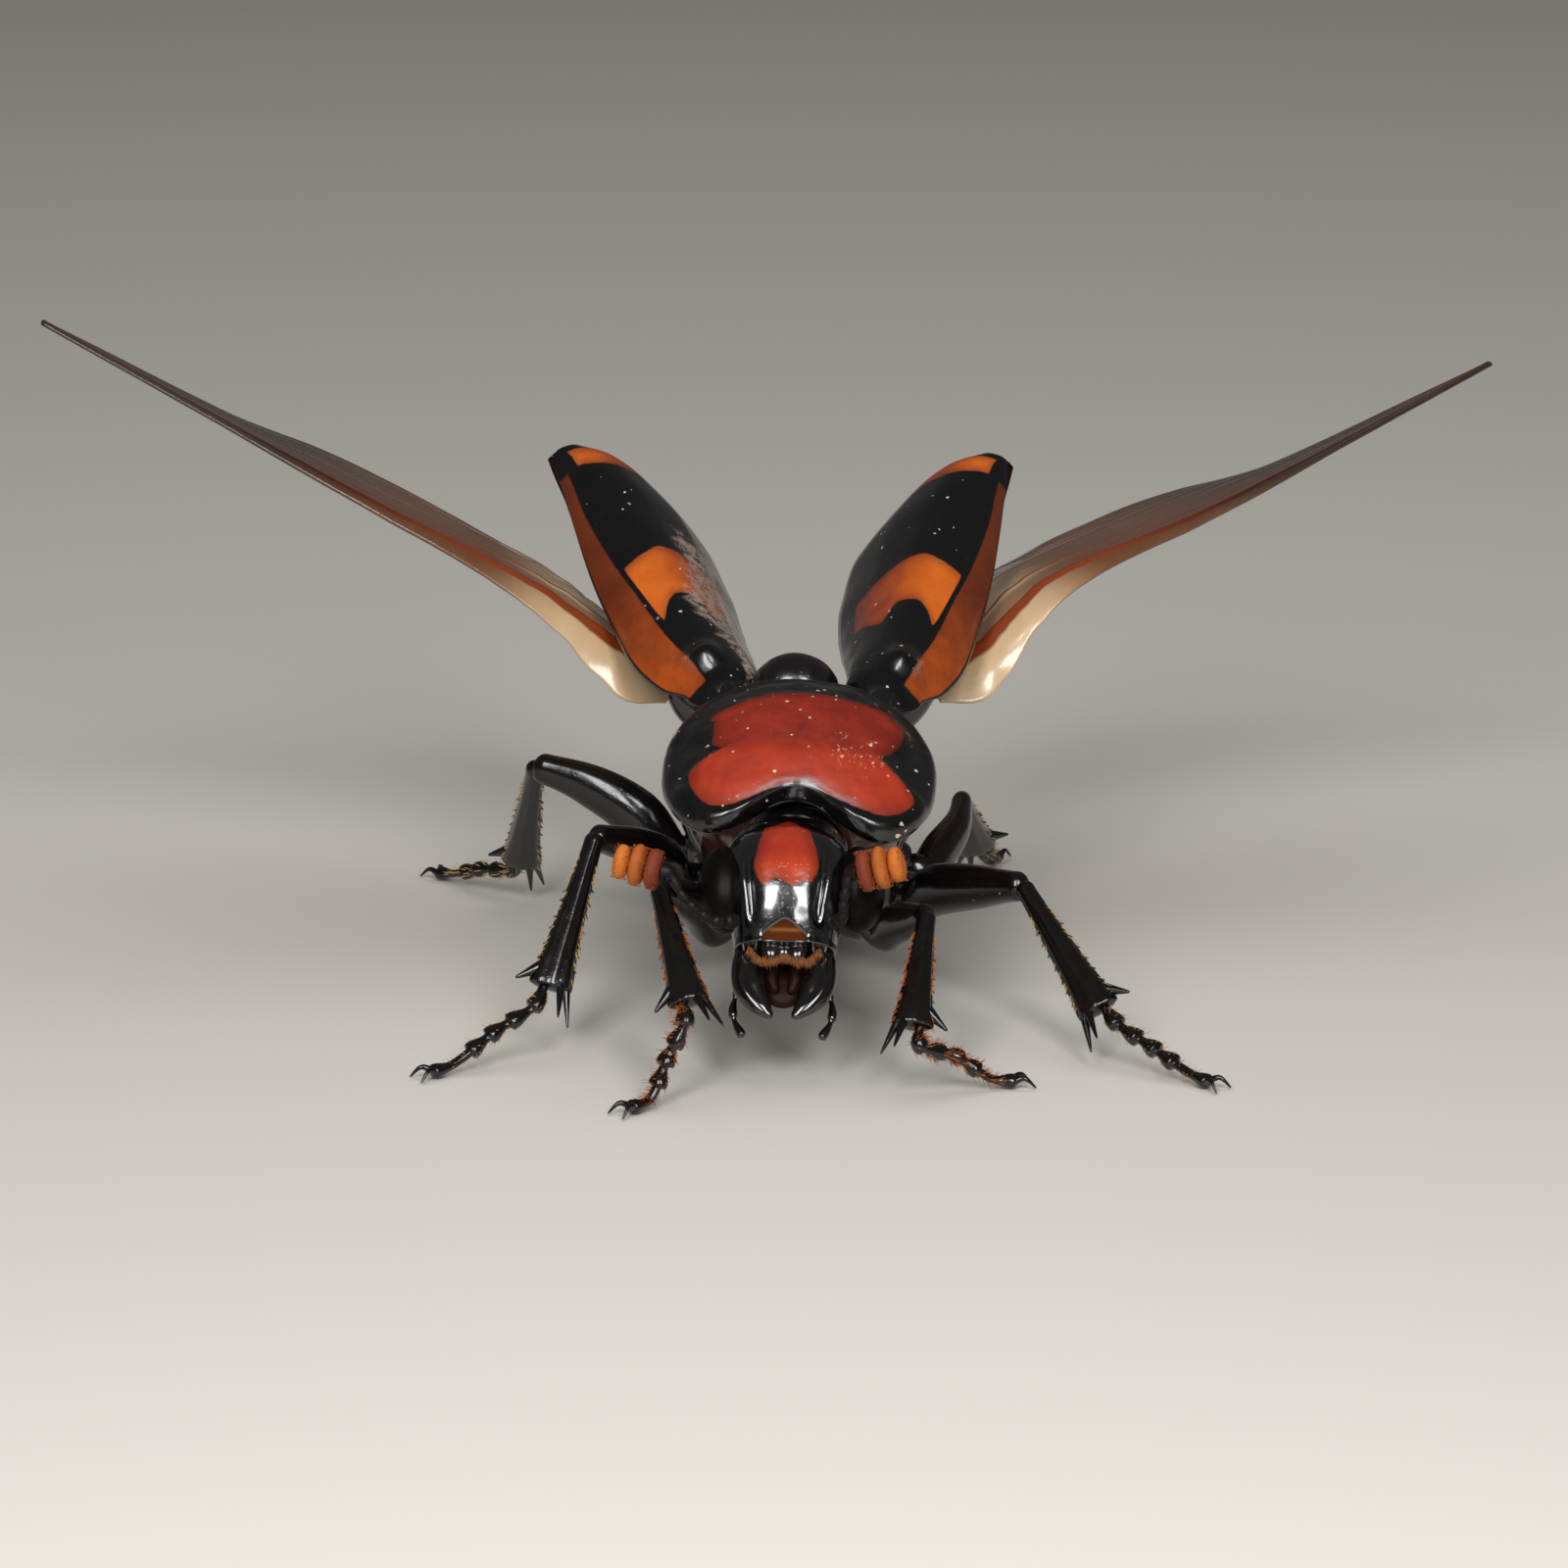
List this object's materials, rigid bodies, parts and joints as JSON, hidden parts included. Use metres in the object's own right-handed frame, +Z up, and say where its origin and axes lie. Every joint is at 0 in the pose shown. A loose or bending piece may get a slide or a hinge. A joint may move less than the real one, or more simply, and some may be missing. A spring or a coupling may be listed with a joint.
{
  "type": "american burying beetle",
  "caption": "Life-size burying beetle standing with raised black and orange elytra, spread hindwings, an orange-red pronotum and clubbed antennae.",
  "frame": {"origin": "centre of the bounding box's base, on the floor between the feet", "axes": "+X to the beetle's own left, across the spread hindwings; -Y the way that the head faces; +Z up"},
  "size_m": [0.0644, 0.0438, 0.0279],
  "materials": {
    "shield": "glossy orange-red chitin with a black rim",
    "shell": "glossy black chitin",
    "abdomen": "satin black chitin in rings",
    "face": "glossy black chitin with an orange-red patch on the forehead",
    "jaws": "polished black horn",
    "mouth": "brown chitin with an orange fringe",
    "eyes": "polished dark brown",
    "clubs": "velvety orange",
    "elytra": "glossy black chitin with orange bands and spots",
    "wing": "translucent amber membrane with brown veins",
    "legs": "glossy black chitin"
  },
  "bodies": {
    "root": {"pronotum": "shield", "prosternum": "shell", "mesothorax": "shell", "metathorax": "shell", "abdomen": "abdomen", "head": "face", "labrum": "mouth", "labium": "mouth", "eye_right": "eyes", "eye_left": "eyes", "mandible_right": "jaws", "mandible_left": "jaws", "palp_right": "mouth", "palp_left": "mouth", "antenna_right": "shell", "antenna_left": "shell", "antenna_club_right": "clubs", "antenna_club_left": "clubs", "elytron_right": "elytra", "elytron_left": "elytra", "hindwing_right": "wing", "hindwing_left": "wing", "front_right_femur": "legs", "front_right_tibia": "legs", "front_right_tarsus": "legs", "front_left_femur": "legs", "front_left_tibia": "legs", "front_left_tarsus": "legs", "middle_right_femur": "legs", "middle_right_tibia": "legs", "middle_right_tarsus": "legs", "middle_left_femur": "legs", "middle_left_tibia": "legs", "middle_left_tarsus": "legs", "hind_right_femur": "legs", "hind_right_tibia": "legs", "hind_right_tarsus": "legs", "hind_left_femur": "legs", "hind_left_tibia": "legs", "hind_left_tarsus": "legs"}
  },
  "joints": []
}
